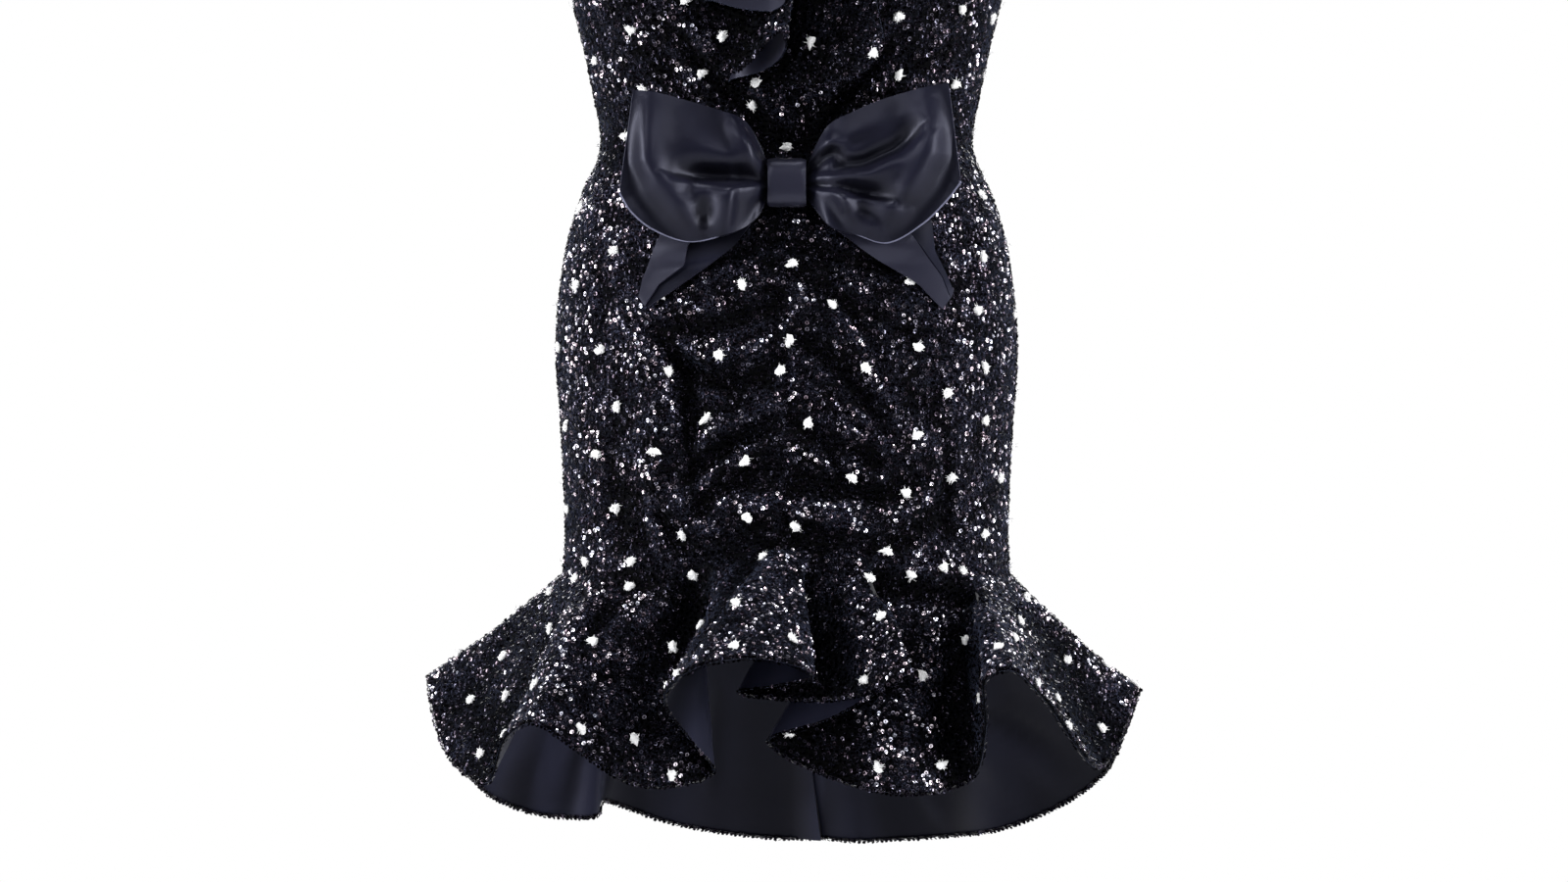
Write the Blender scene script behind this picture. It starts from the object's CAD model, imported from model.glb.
# A short fitted sequin dress with a satin bow and a satin-lined flounce, floating in a white studio.
# The forms follow the part's own tables in millimetres, with heights above the waist.
# Meshes are made in metres.
import math

import bpy
import numpy as np
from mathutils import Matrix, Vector


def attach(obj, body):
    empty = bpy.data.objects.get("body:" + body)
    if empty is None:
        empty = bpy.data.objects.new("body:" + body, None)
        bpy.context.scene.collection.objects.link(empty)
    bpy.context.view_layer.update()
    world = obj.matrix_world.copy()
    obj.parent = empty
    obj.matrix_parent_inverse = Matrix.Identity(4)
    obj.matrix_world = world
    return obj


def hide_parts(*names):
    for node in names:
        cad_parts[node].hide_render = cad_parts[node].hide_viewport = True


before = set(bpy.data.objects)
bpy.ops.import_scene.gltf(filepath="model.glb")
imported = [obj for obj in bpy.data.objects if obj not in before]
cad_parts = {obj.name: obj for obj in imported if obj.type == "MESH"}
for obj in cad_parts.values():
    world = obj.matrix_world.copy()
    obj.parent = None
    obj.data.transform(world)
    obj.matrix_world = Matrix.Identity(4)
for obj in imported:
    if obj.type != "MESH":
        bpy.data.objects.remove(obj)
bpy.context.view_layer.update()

# ---- Camera ----
camera_data = bpy.data.cameras.new("camera")
camera_data.lens, camera_data.sensor_width = 108.5, 36
camera = bpy.data.objects.new("camera", camera_data)
camera.location = (-0.002, -3.6, -0.624)
camera.rotation_euler = (math.pi / 2, 0, 0)
bpy.context.collection.objects.link(camera)
bpy.context.scene.camera = camera

# ---- Driving sizes, as in the part ----
MM = 0.001
SHOULDER = 400.0
SEAM_GAP = 0.3
SEAM_LAP = 0.25  # how far two sewn edges pass each other down in their groove
FLOUNCE_GAP = -0.4  # the flounce goes up under the skirt edge
CLOTH, FLOUNCE_CLOTH, LINING, SATIN = 1.6, 1.2, 0.8, 1.4
ROUNDNESS = 2.3
FLOUNCE_SEAM, FRONT_RISE, BACK_DROP = -325.0, 21.0, 16.0
NECK_POINT, NECK_HALF, BACK_NECK = 165.0, 72.0, 352.0
UNDERARM, SHOULDER_SLOPE = 195.0, 0.36
SEED = 7
SETTLE = 27.0  # folds begin to show this far above the flounce seam
GROOVE = dict(centre=0.9, side=0.7, width=2.4)  # how deep and wide the seams are pressed in

# Columns and rows of the grids. The flounce has so many columns from one bend of its hem to the next
PANEL_GRIDS = {"front": (60, 196), "back": (44, 130)}
BEND_COLUMNS, FLOUNCE_ROWS = 9, 26
RUFFLE_GRID, LOOP_GRID, TAIL_GRID, KNOT_GRID = (130, 32), (140, 50), (40, 50), (64, 22)
LOOP_EDGE_RUN = 51  # columns of a loop's lower edge that show the turned edge
RELIEF_REACH = 22  # grid steps over which a form is smoothed to find its relief
STROKE_SPREAD = 1.25  # how much wider a stroke of relief is than its table says

# height, half width, front depth, back depth
FIGURE = [
    (-345, 171, 108, 112), (-291, 168, 108, 114), (-217, 171, 109, 122), (-149, 175, 107, 124),
    (-82, 168, 100, 112), (-37, 155.5, 92, 97), (-12, 144, 88, 89), (5, 140.5, 87, 86),
    (37, 146, 91, 86), (75, 154, 98, 88), (112, 163, 109, 91), (160, 171, 124, 96),
    (195, 171, 122, 98), (235, 170, 111, 97), (285, 170, 90, 88), (335, 171, 62, 67),
    (375, 172, 29, 34), (400, 172, 0.3, 0.3),
]
# height, distance of the armhole's edge from the centre line
ARMHOLE = [(195, 171), (203, 162), (218, 143), (245, 126), (285, 115), (340, 112), (400, 118)]
# side, start, end, reach, sag, depth, width
RUCHES = [
    (-1, -4, 78, 84, 2, 5, 10), (-1, 40, 100, 70, 4, 2.5, 9), (-1, -70, -96, 100, 6, 3, 9),
    (-1, -118, -138, 104, 10, 3.6, 10), (-1, -160, -140, 104, 32, 6.5, 11), (-1, -190, -196, 92, 8, 4, 9),
    (-1, -213, -258, 84, -6, 6, 10), (-1, -238, -280, 80, -2, 5, 9), (-1, -288, -262, 104, 46, 6, 12),
    (-1, -266, -268, 60, 4, -4, 11), (1, -6, 72, 80, 2, 5, 10), (1, 36, 98, 74, 4, 2.5, 9),
    (1, -78, -92, 96, 5, 3, 9), (1, -112, -176, 66, -14, -4.5, 10), (1, -150, -218, 74, -16, 5.5, 11),
    (1, -206, -252, 98, 6, 6, 10), (1, -240, -256, 100, 14, 5, 9), (1, -272, -270, 60, 4, -4, 11),
    (1, -292, -268, 118, 30, 5.5, 12),
]
# across, top, bottom, depth, width
DRAGS = [
    (-97, -110, -285, -5, 16), (-76, -130, -270, 5.5, 11), (-122, -235, -330, 5, 12),
    (112, -225, -310, 5, 11), (130, -100, -230, -3, 14),
]
# turn round the flounce seam, and the hem's x, y and height there
HEM = [
    (-180, 30, 226, -544), (-174, -4, 240, -545), (-165, -52, 226, -539), (-156, -92, 206, -530),
    (-148, -124, 200, -519), (-141, -146, 176, -510), (-136, -150, 140, -513), (-131, -152, 112, -518),
    (-124, -176, 122, -519), (-115, -208, 124, -513), (-104, -237, 98, -496), (-96, -262, 62, -450),
    (-90, -275, 30, -404), (-84, -266, -6, -440), (-77, -250, -40, -466), (-69, -224, -78, -477),
    (-61, -208, -114, -441), (-53, -184, -138, -429), (-46, -152, -134, -450), (-37, -114, -118, -475),
    (-29, -82, -104, -478), (-22, -56, -92, -470), (-18, -70, -122, -446), (-14, -90, -160, -413),
    (-9.5, -77, -196, -391), (-4.5, -34, -214, -378), (-0.5, 4, -204, -383), (2, 21, -180, -394),
    (4.5, -8, -149, -403), (7.5, -34, -119, -409), (10.5, 26, -147, -412), (13, 66, -180, -402),
    (15.5, 90, -186, -389), (17.5, 82, -168, -397), (20, 34, -132, -427), (23, -12, -98, -447),
    (29, 40, -108, -474), (36, 90, -120, -483), (43, 134, -106, -474), (48, 144, -140, -437),
    (53, 144, -176, -394), (58, 162, -182, -388), (65, 188, -148, -410), (72, 216, -102, -449),
    (78, 234, -64, -467), (84, 250, -30, -451), (90, 269, 14, -413), (97, 261, 58, -449),
    (106, 248, 102, -484), (118, 212, 140, -513), (132, 168, 162, -532), (146, 132, 204, -540),
    (158, 92, 220, -544), (170, 56, 214, -545),
]
# share along the ruffle, and its free edge's x, y and height
CASCADE = [
    (0, -66, -132, 150), (0.1, -84, -142, 130), (0.2, -46, -164, 124), (0.28, -4, -171, 108),
    (0.31, 0, -167, 96), (0.34, -9, -159, 89.5), (0.38, -34, -145, 92), (0.42, -60, -128, 98),
    (0.5, -39, -136, 47.5), (0.57, -4, -158, 75), (0.595, 0, -156, 67), (0.62, -3, -147, 57),
    (0.65, -16, -134, 48), (0.69, -42, -119, 41), (0.73, -32, -110, 39), (0.8, 12, -124, 38),
    (0.87, 40, -139, 40), (0.94, 62, -149, 50), (1, 71, -152, 68),
]
RUFFLE_HALF, RUFFLE_TOP = 54.0, NECK_POINT - 3

BOW = dict(height=-33.0, depth=-105.8)
KNOT = dict(half_width=14.0, half_height=18.5, half_depth=14.0, band=1.4)
# out, top, bottom, back, swell
LOOP_ROOT = [(0, 11.5, -11.5, 7.9, 15), (0.12, 11.5, -11.5, 7.9, 15)]
LOOPS = {
    "left": [
        *LOOP_ROOT, (0.17, 26, -24, 2.5, 17), (0.26, 44, -34, -2, 22), (0.42, 52, -41, -1.5, 27),
        (0.6, 58, -44, -3, 28), (0.8, 64, -35, -9, 22), (0.93, 66.5, -22, -15, 14), (1, 67, -8, -19, 8),
    ],
    "right": [
        *LOOP_ROOT, (0.17, 24, -20, 2.5, 17), (0.25, 41, -33, -2, 22), (0.4, 51, -39, -1.5, 27),
        (0.58, 60, -45, -3, 28), (0.78, 67, -31, -9, 22), (0.93, 71, -12, -15, 14), (1, 72.5, 0, -19, 8),
    ],
}
LOOP_REACH = {"left": (123, 113), "right": (128, 119)}  # bottom, top
# start, end, run, depth, width
CREASES = {
    "left": [(0.5, 0.48, 0.62, 10, 0.08), (0.8, 0.97, 0.36, 5, 0.09), (0.2, 0.22, 0.34, 4, 0.09)],
    "right": [(0.66, 0.78, 0.7, 9, 0.07), (0.4, 0.36, 0.6, 7, 0.07), (0.86, 0.8, 0.26, 6, 0.09)],
}
# x and height of the near edge, of the fold and of the end, and how far each of these lies out of the skirt
TAILS = {
    "left": [
        (-16, -44, -17, -24, -17, -28, 1.7, 3.4, 3.4), (-22, -57, -40, -34, -33, -40, 2.2, 4.8, 4.8),
        (-29, -68, -66, -48, -52, -58, 3, 8, 8.5), (-38, -79, -88, -67, -68, -78, 4, 9, 11),
        (-57, -94, -97, -89, -73, -94, 4, 9, 11), (-80, -111, -103, -104, -91, -108, 4, 8.5, 9),
        (-99, -125, -105, -117, -100, -124, 4, 8, 8),
    ],
    "right": [
        (16, -44, 17, -24, 19, -23, 1.7, 3, 2.5), (24, -57, 40, -34, 47, -30, 2.2, 4.6, 3.5),
        (36, -68, 68, -51, 88, -45, 3.2, 7.5, 4), (52, -80, 86, -69, 105, -60, 4, 10, 4),
        (74, -94, 99, -87, 107, -83, 4, 10, 4), (96, -108, 111, -102, 115, -99, 4, 7, 4),
        (113, -126, 118, -118, 121, -113, 4, 5, 4),
    ],
}

# ---- Finer relief, which the part doesn't have ----
# Small gathers drawn from the ruched seam: side, start, end, reach, sag, depth, width
GATHERS = [
    (-1, 118, 150, 40, 1, 1.2, 4), (-1, 92, 128, 52, 2, 1.4, 5), (-1, 66, 94, 44, 1, 1.3, 4.5),
    (-1, -88, -110, 58, 3, 1.6, 5), (-1, -104, -120, 74, 6, 1.9, 6), (-1, -134, -158, 62, 5, 1.9, 5),
    (-1, -148, -166, 84, 14, 2.2, 6), (-1, -176, -172, 70, 9, 2, 5), (-1, -202, -232, 60, -3, 2.1, 5),
    (-1, -226, -262, 66, -3, 2.2, 5.5), (-1, -252, -268, 52, 4, 1.8, 5), (-1, -276, -296, 88, 12, 2, 6),
    (1, 112, 146, 42, 1, 1.2, 4), (1, 88, 120, 50, 2, 1.4, 5), (1, 62, 92, 46, 1, 1.3, 4.5),
    (1, -92, -104, 60, 4, 1.6, 5), (1, -104, -140, 84, -4, 1.9, 6), (1, -128, -176, 70, -8, 2.1, 5.5),
    (1, -166, -230, 66, -8, 2, 5), (1, -190, -226, 84, 2, 2.2, 6), (1, -222, -246, 62, 5, 1.9, 5),
    (1, -254, -262, 78, 9, 2, 5.5), (1, -284, -300, 92, 8, 2, 6),
]
# Slanting folds of the front with one steep flank: x and height of each place, height, widths left and right
FRONT_FOLDS = [
    ([(-105, -131), (-92, -173), (-82, -210), (-75, -264)], 2.6, 2.5, 12),  # the lit flank ends along it
    ([(-100, -128), (-87, -172), (-77, -210), (-70, -262)], -4.2, 16, 2.5),
    ([(-104, -250), (-101, -282), (-92, -305), (-66, -314), (-40, -313)], 3, 5, 3),
    ([(-110, -262), (-108, -292), (-96, -316), (-66, -322)], -4.5, 3, 7),
    ([(119, -225), (122, -262), (120, -298)], -4, 4, 4),
    ([(110, -220), (113, -262), (110, -300)], 2.6, 4, 6),
    ([(66, -308), (92, -312), (116, -306)], -4, 4, 5),
    ([(28, -226), (40, -246), (56, -260), (72, -266)], -4, 2.5, 5),
    ([(30, -216), (46, -236), (62, -250)], 2.6, 4, 4),
    ([(-90, 62), (-74, 30), (-60, 4), (-40, -6)], -3, 3, 6),
    ([(88, 60), (70, 24), (52, 2), (34, -8)], -3, 6, 3),
    ([(-40, 70), (-28, 30), (-16, 0)], -2.4, 4, 5),
    ([(44, 40), (30, 10), (16, -4)], -2.4, 5, 4),
    ([(136, -40), (140, -90), (138, -150)], -2.2, 5, 5),
    ([(-140, -60), (-136, -120), (-140, -190)], -2.2, 5, 5),
    ([(-128, -210), (-132, -250), (-126, -300)], -3.2, 5, 6),
]
# Soft drag lines at the back and sides: angle in degrees round the body, height, rise, length, depth, width
BACK_DRAGS = [
    (180, 12, 4, 60, 2.2, 9), (166, 26, 10, 46, 1.6, 8), (196, 2, -6, 52, 1.8, 8),
    (152, -6, 14, 40, 1.5, 7), (209, 34, -12, 44, 1.6, 8), (176, 58, 3, 56, 1.2, 8),
    (140, 40, 16, 36, 1.6, 7), (221, 22, -14, 38, 1.5, 7), (171, -262, -8, 62, 2, 10),
    (193, -286, 7, 58, 1.8, 9), (148, -250, -12, 44, 1.6, 8), (214, -236, 10, 46, 1.5, 8),
    (118, 18, 12, 34, 1.6, 7), (238, 6, -10, 36, 1.6, 7), (104, 150, 24, 30, 1.6, 8),
    (254, 158, -22, 32, 1.7, 8), (128, 214, 26, 36, 1.4, 8), (232, 226, -24, 34, 1.4, 8),
    (163, 300, 8, 42, 1.2, 9), (200, 316, -6, 40, 1.2, 9),
]

SEQUIN = dict(
    radius=1.64, sides=7, plain_sides=5, hole=0.36, dish=0.42, apart=2.96, off=(0.5, 1.15), tilt=0.30
)
RING_FROM = 0.36  # sequins of this tone and more have a real hole, darker ones are small dishes
TONE = dict(gain=0.83, rarity=1.85, even=0.88, patchy=0.36, crests=0.22)  # how bright the sequins are, 0 to 1
TUFT = dict(radius=3.8, height=2.1, apart=39.0, fibres=40, lobes=((2, 0.16), (3, 0.17), (5, 0.12)))
# Radii of the rolled edges: flounce, neck and armhole, bow loop
BINDING, PANEL_ROLL, LOOP_EDGE = 0.95, 1.15, 0.8


# ---- Helpers ----
def mix(a, b, share):
    return a + (b - a) * share


def smooth(t):
    t = np.clip(t, 0, 1)
    return t * t * (3 - 2 * t)


def bump(distance, width):
    return np.exp(-((distance / width) ** 2))


def power(value, exponent):
    return np.sign(value) * np.abs(value) ** exponent


def column(table, part):
    return np.array([row[part] for row in table], float)


def between(values, place):
    """The values at places counted in whole and part steps along their first axis."""
    values = np.asarray(values, float)
    i = np.clip(np.floor(place).astype(int), 0, len(values) - 2)
    return mix(values[i], values[i + 1], (place - i).reshape(-1, *[1] * (values.ndim - 1)))


def curve(table, part):
    """The part-th column as a smooth function of the first one."""
    at, value = column(table, 0), column(table, part)
    before = np.maximum(np.arange(len(at)) - 1, 0)
    after = np.minimum(np.arange(len(at)) + 1, len(at) - 1)
    slope = (value[after] - value[before]) / (at[after] - at[before])

    def of(x):
        x = np.asarray(x, float)
        i = np.searchsorted(at[1:-1], x, side="left")
        span = at[i + 1] - at[i]
        t = np.clip((x - at[i]) / span, 0, 1)
        lead = t * (1 - t) ** 2 * span * slope[i]
        tail = t * t * (1 - t) * span * slope[i + 1]
        return mix(value[i], value[i + 1], smooth(t)) + lead - tail

    return of


def spline(points, closed):
    """A centripetal Catmull-Rom curve through points, over 0 to 1."""
    p = np.array(points, float)
    count = len(p)
    ends = [p[-1:], p, p[:2]] if closed else [2 * p[:1] - p[1:2], p, 2 * p[-1:] - p[-2:-1]]
    q = np.concatenate(ends)
    spans = count if closed else count - 1

    def of(t):
        place = np.clip(np.asarray(t, float), 0, 1) * spans
        i = np.minimum(place.astype(int), spans - 1)
        w = (place - i)[..., None]
        a, b, c, d = q[i], q[i + 1], q[i + 2], q[i + 3]
        step = lambda m, n: np.maximum(np.sum((n - m) ** 2, -1, keepdims=True) ** 0.25, 1e-4)
        u, v, x = step(a, b), step(b, c), step(c, d)
        lead = ((b - a) / u - (c - a) / (u + v) + (c - b) / v) * v
        tail = ((c - b) / v - (d - b) / (v + x) + (d - c) / x) * v
        return b + lead * w + (3 * (c - b) - 2 * lead - tail) * w**2 + (2 * (b - c) + lead + tail) * w**3

    return of


def unit(v):
    return v / np.maximum(np.linalg.norm(v, axis=-1, keepdims=True), 1e-9)


def swing(first, second, angle):
    """Two directions square to each other, turned together by an angle."""
    return first * np.cos(angle) + second * np.sin(angle), second * np.cos(angle) - first * np.sin(angle)


def normals_of(grid):
    return unit(np.cross(np.gradient(grid, axis=1), np.gradient(grid, axis=0)))


def relief_of(grid):
    """How far each point stands out of the grid's own smoothed form, in millimetres."""
    soft = grid
    for _ in range(2 * RELIEF_REACH):  # by turns down the rows and along the columns
        wide = np.concatenate([soft[:1], soft, soft[-1:]])
        soft = ((wide[:-2] + wide[1:-1] + wide[2:]) / 3).swapaxes(0, 1)
    return np.sum((grid - soft) * normals_of(grid), -1)


def waves(seed, size, count=7):
    """A smooth seeded function of two coordinates, about -1 to 1, with features of about that size."""
    rng = np.random.default_rng(seed)
    angle = rng.uniform(0, 2 * np.pi, count)
    pitch = 2 * np.pi / (size * rng.uniform(1.3, 3.2, count))
    phase = rng.uniform(0, 2 * np.pi, count)

    def of(a, b):
        each = (np.sin((a * math.cos(t) + b * math.sin(t)) * k + f) for t, k, f in zip(angle, pitch, phase))
        return sum(each) / math.sqrt(count)

    return of


# ---- The figure ----
half_at, front_at, back_at = (curve(FIGURE, part) for part in (1, 2, 3))
armhole_at = curve(ARMHOLE, 1)


def body(angle, height):
    depth = np.where(np.cos(angle) > 0, front_at(height), back_at(height))
    x = half_at(height) * power(np.sin(angle), 2 / ROUNDNESS)
    y = -depth * power(np.cos(angle), 2 / ROUNDNESS)
    rise = (height - UNDERARM) / (SHOULDER - UNDERARM)
    z = height - SHOULDER_SLOPE * np.maximum(0, np.abs(x) - NECK_HALF) * smooth(rise)
    return np.stack([x, y, z + 0 * x], -1)


def angle_at(x, height):
    return np.arcsin(power(np.clip(x / half_at(height), -1, 1), ROUNDNESS / 2))


def ruched(folds, x, height):
    out = np.zeros(np.broadcast(x, height).shape)
    for side, start, end, reach, sag, depth, width in folds:
        t = x * side / reach
        line = mix(start, end, t) - sag * 4 * t * (1 - t)
        fade = 0.45 + 0.55 * smooth(t / 0.3)
        stop = 1 - smooth((t - 0.7) / 0.45)
        trough = bump(height - line, width)
        crest = 0.6 * bump(height - line - 1.5 * width, width)
        out -= np.where((t >= 0) & (t <= 1.15), depth * (trough - crest) * fade * stop, 0)
    return out


def folds_at(x, height):
    out = ruched(RUCHES, x, height)
    for across, top, bottom, depth, width in DRAGS:
        t = np.clip((top - height) / (top - bottom), 0, 1)
        out = out - depth * bump(x - across, width) * np.sin(np.pi * t)
    return out


def outward(point, height):
    x = point[..., 0] / half_at(height)
    return unit(np.stack([x, -np.ones_like(x), np.zeros_like(x)], -1))


def on_front(x, height, clear):
    point = body(angle_at(x, height), height)
    return point + outward(point, height) * (folds_at(x, height) + clear)[..., None]


def seam_height(angle):
    front, back = np.maximum(0, np.cos(angle)) ** 4, np.maximum(0, -np.cos(angle)) ** 2
    return FLOUNCE_SEAM + FRONT_RISE * front - BACK_DROP * back


def neckline(face, height):
    low, exponent = (NECK_POINT, 0.9) if face == "front" else (BACK_NECK, 0.55)
    return NECK_HALF * np.clip((height - low) / (SHOULDER - low), 0, 1) ** exponent


back_ripple = waves(3, 26)
flank_ripple = waves(5, 34)


def panel(face, side, columns, rows):
    """A panel's surface as (rows, columns, 3), from the flounce seam up to the shoulder."""
    front = face == "front"
    share = np.linspace(0, 1, columns)[None, :]
    from_centre = (share if (side > 0) == front else 1 - share) ** (1.25 if front else 1.1)
    height = np.linspace(FLOUNCE_SEAM, SHOULDER, rows)[:, None]
    open_neck = neckline(face, height)
    inner = angle_at(np.where(open_neck > 0, open_neck, -SEAM_LAP), height)
    outer = np.where(height > UNDERARM, angle_at(armhole_at(height), height), np.pi / 2 + SEAM_LAP / 100)
    turn = mix(inner, outer, from_centre)
    angle = side * (turn if front else np.pi - turn)
    up = (height - FLOUNCE_SEAM) / (SHOULDER - FLOUNCE_SEAM)
    level = height + (seam_height(angle) - FLOUNCE_SEAM) * (1 - up) ** (8.5 if front else 5.2)
    point = body(angle, level)
    x, z = point[..., 0], point[..., 2]
    settle = smooth((height - FLOUNCE_SEAM) / SETTLE)
    if front:
        fine = ruched(GATHERS, x, level) * (1 - smooth((np.abs(x) - 90) / 40))
        fine = fine + 0.5 * flank_ripple(x * 1.4, z) * smooth((np.abs(x) - 60) / 60)
        fine = fine + strokes(FRONT_FOLDS, x, z)
        edge = 1 - smooth((from_centre - 0.8) / 0.2)
        point = point + outward(point, level) * ((folds_at(x, level) + fine) * (settle * edge))[..., None]
    else:
        fine = 0.35 * back_ripple(x, z)
        degrees = np.degrees(angle) % 360
        for at, middle, rise, length, depth, width in BACK_DRAGS:
            t = (degrees - at) / (length / half_at(np.array(float(middle))) * 57.3)
            fade = np.where(np.abs(t) < 1, (1 - t * t) ** 2, 0)
            fine = fine - depth * bump(z - (middle + rise * t * 2), width) * fade
        settle = settle * (1 - smooth((height - 370) / 30))
        edge = smooth((1 - from_centre) / 0.1) * smooth(from_centre / 0.05 + 0.3)
        point = point + normals_of(point) * (fine * settle * edge)[..., None]
    centre_seam = np.where(z < (NECK_POINT if front else BACK_NECK), np.abs(x), np.inf)
    side_seam = np.where(height > UNDERARM, np.inf, (np.pi / 2 - turn) * 100)
    middle, flank = (bump(seam, GROOVE["width"]) for seam in (centre_seam, side_seam))
    groove = GROOVE["centre"] * middle + GROOVE["side"] * flank
    return point - normals_of(point) * groove[..., None]


# Folds of the flounce's back seen from inside: places as x and height, then height, width left and right
LINING_FOLDS = [
    ([(150, -437), (176, -443), (209, -457)], -3.5, 4, 5),
    ([(170, -462), (196, -474), (214, -492)], 4, 10, 10),
    ([(-54, -421), (-57, -455), (-59, -500)], -3.5, 4, 5),
    ([(-96, -440), (-104, -470), (-110, -505)], 2.5, 9, 9),
    ([(-176, -440), (-188, -475), (-196, -515)], 6, 12, 12),
    ([(-150, -440), (-160, -475), (-166, -510)], -3, 10, 10),
    ([(-196, -410), (-180, -432), (-160, -440)], -4, 8, 8),
    ([(98, -480), (112, -505), (132, -535)], 4, 12, 5),
    ([(146, -462), (168, -482), (186, -512)], 4, 12, 8),
]
# Folds of the flounce's front, under the skirt's edge
FLOUNCE_FOLDS = [
    ([(44, -318), (70, -334), (112, -342), (150, -336), (162, -318)], -5, 6, 6),
    ([(56, -352), (86, -356), (126, -360)], 3, 8, 8),
    ([(-150, -322), (-120, -332), (-84, -330)], -3, 6, 6),
    ([(-62, -322), (-80, -360), (-100, -400)], -3, 6, 8),
    ([(-20, -308), (-38, -328), (-58, -352), (-76, -384)], -8, 3, 14),  # the front flute narrows upwards
    ([(-4, -306), (-20, -324), (-38, -346), (-60, -376)], 4, 7, 5),
    ([(-140, -338), (-170, -360), (-196, -402)], 3.5, 9, 6),  # the crest down to the left arch
    ([(-118, -336), (-146, -366), (-160, -402)], -3, 6, 9),
]
hem_curve = spline([row[1:] for row in HEM], True)
hem_turns = np.array([row[0] for row in HEM] + [180], float)
flounce_ripple = waves(11, 18)


def flounce(first, last, columns, rows, inside):
    """The flounce between two rows of the hem table, from the hem up."""
    bend = np.linspace(first, last, columns)
    bend[0] -= 0.010
    bend[-1] += 0.010
    up = np.linspace(0, 1, rows)[:, None, None]
    hem = hem_curve((bend / len(HEM) + 1) % 1)[None]
    turn = np.radians(between(hem_turns, bend))
    seam = body(turn, seam_height(turn))[None] - [0, 0, FLOUNCE_GAP]
    grid = mix(hem, seam, up)
    middle = np.sin(np.pi * up[..., 0])
    grid[..., 2] += 3 * middle
    ripple = 0.5 * flounce_ripple(bend[None, :] * 11, grid[..., 2]) * middle**0.5
    ripple = ripple - 5.0 * middle * np.sin(turn)[None, :] ** 4 - 0.7 * smooth((up[..., 0] - 0.93) / 0.07)
    behind = smooth((grid[..., 1] - 30) / 40)
    ripple = ripple - strokes(LINING_FOLDS, grid[..., 0], grid[..., 2]) * middle**0.5 * behind
    ahead = smooth((-grid[..., 1] - 60) / 30) * smooth((1 - up[..., 0]) / 0.05)
    ripple = ripple + strokes(FLOUNCE_FOLDS, grid[..., 0], grid[..., 2]) * ahead
    if inside and first == 0:  # the lining's centre back edge stands forward
        ripple = ripple - 4.5 * smooth((grid[..., 0] - 2) / 28)
    return grid + normals_of(grid) * (ripple - inside)[..., None]


cascade_curve = spline([row[1:] for row in CASCADE], False)


def ruffle(columns, rows):
    place = np.linspace(0, 1, columns)
    along = between(column(CASCADE, 0), place * (len(CASCADE) - 1))
    x = mix(-RUFFLE_HALF, RUFFLE_HALF, along)
    sewn = on_front(x, RUFFLE_TOP - 0.12 * np.abs(x), FLOUNCE_CLOTH + SEAM_GAP + 0 * x)
    up = (np.linspace(0, 1, rows) ** 0.8)[:, None, None]
    return mix(cascade_curve(place)[None], sewn[None], up)


def creasing(creases, out, across):
    depth = 0
    for start, end, run, deep, width in creases:
        t = np.clip(out / run, 0, 1)
        depth = depth + deep * bump(across - mix(start, end, t), width) * np.sin(np.pi * t) ** 1.3
    return depth


def strokes(table, x, z):
    """Relief drawn as soft strokes. Each: places, height, then width on the left and right of its way."""
    total = np.zeros(np.shape(x))
    for places, height, left, right in table:
        p = np.array(places, float)
        lengths = np.linalg.norm(np.diff(p, axis=0), axis=1)
        start = np.concatenate([[0], np.cumsum(lengths)])
        nearest, way, hand = np.full(np.shape(x), np.inf), 0, 0
        for i, length in enumerate(lengths):
            dx, dz = (p[i + 1] - p[i]) / length
            t = np.clip((x - p[i, 0]) * dx + (z - p[i, 1]) * dz, 0, length)
            ox, oz = x - p[i, 0] - t * dx, z - p[i, 1] - t * dz
            distance = np.hypot(ox, oz)
            closer = distance < nearest
            nearest = np.where(closer, distance, nearest)
            way = np.where(closer, (start[i] + t) / start[-1], way)
            hand = np.where(closer, dx * oz - dz * ox, hand)
        width = np.where(hand > 0, left, right)
        ends = np.sin(np.pi * np.clip(0.08 + 0.84 * way, 0, 1)) ** 0.7
        total += height * bump(nearest, width * STROKE_SPREAD) * ends
    return total


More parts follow.
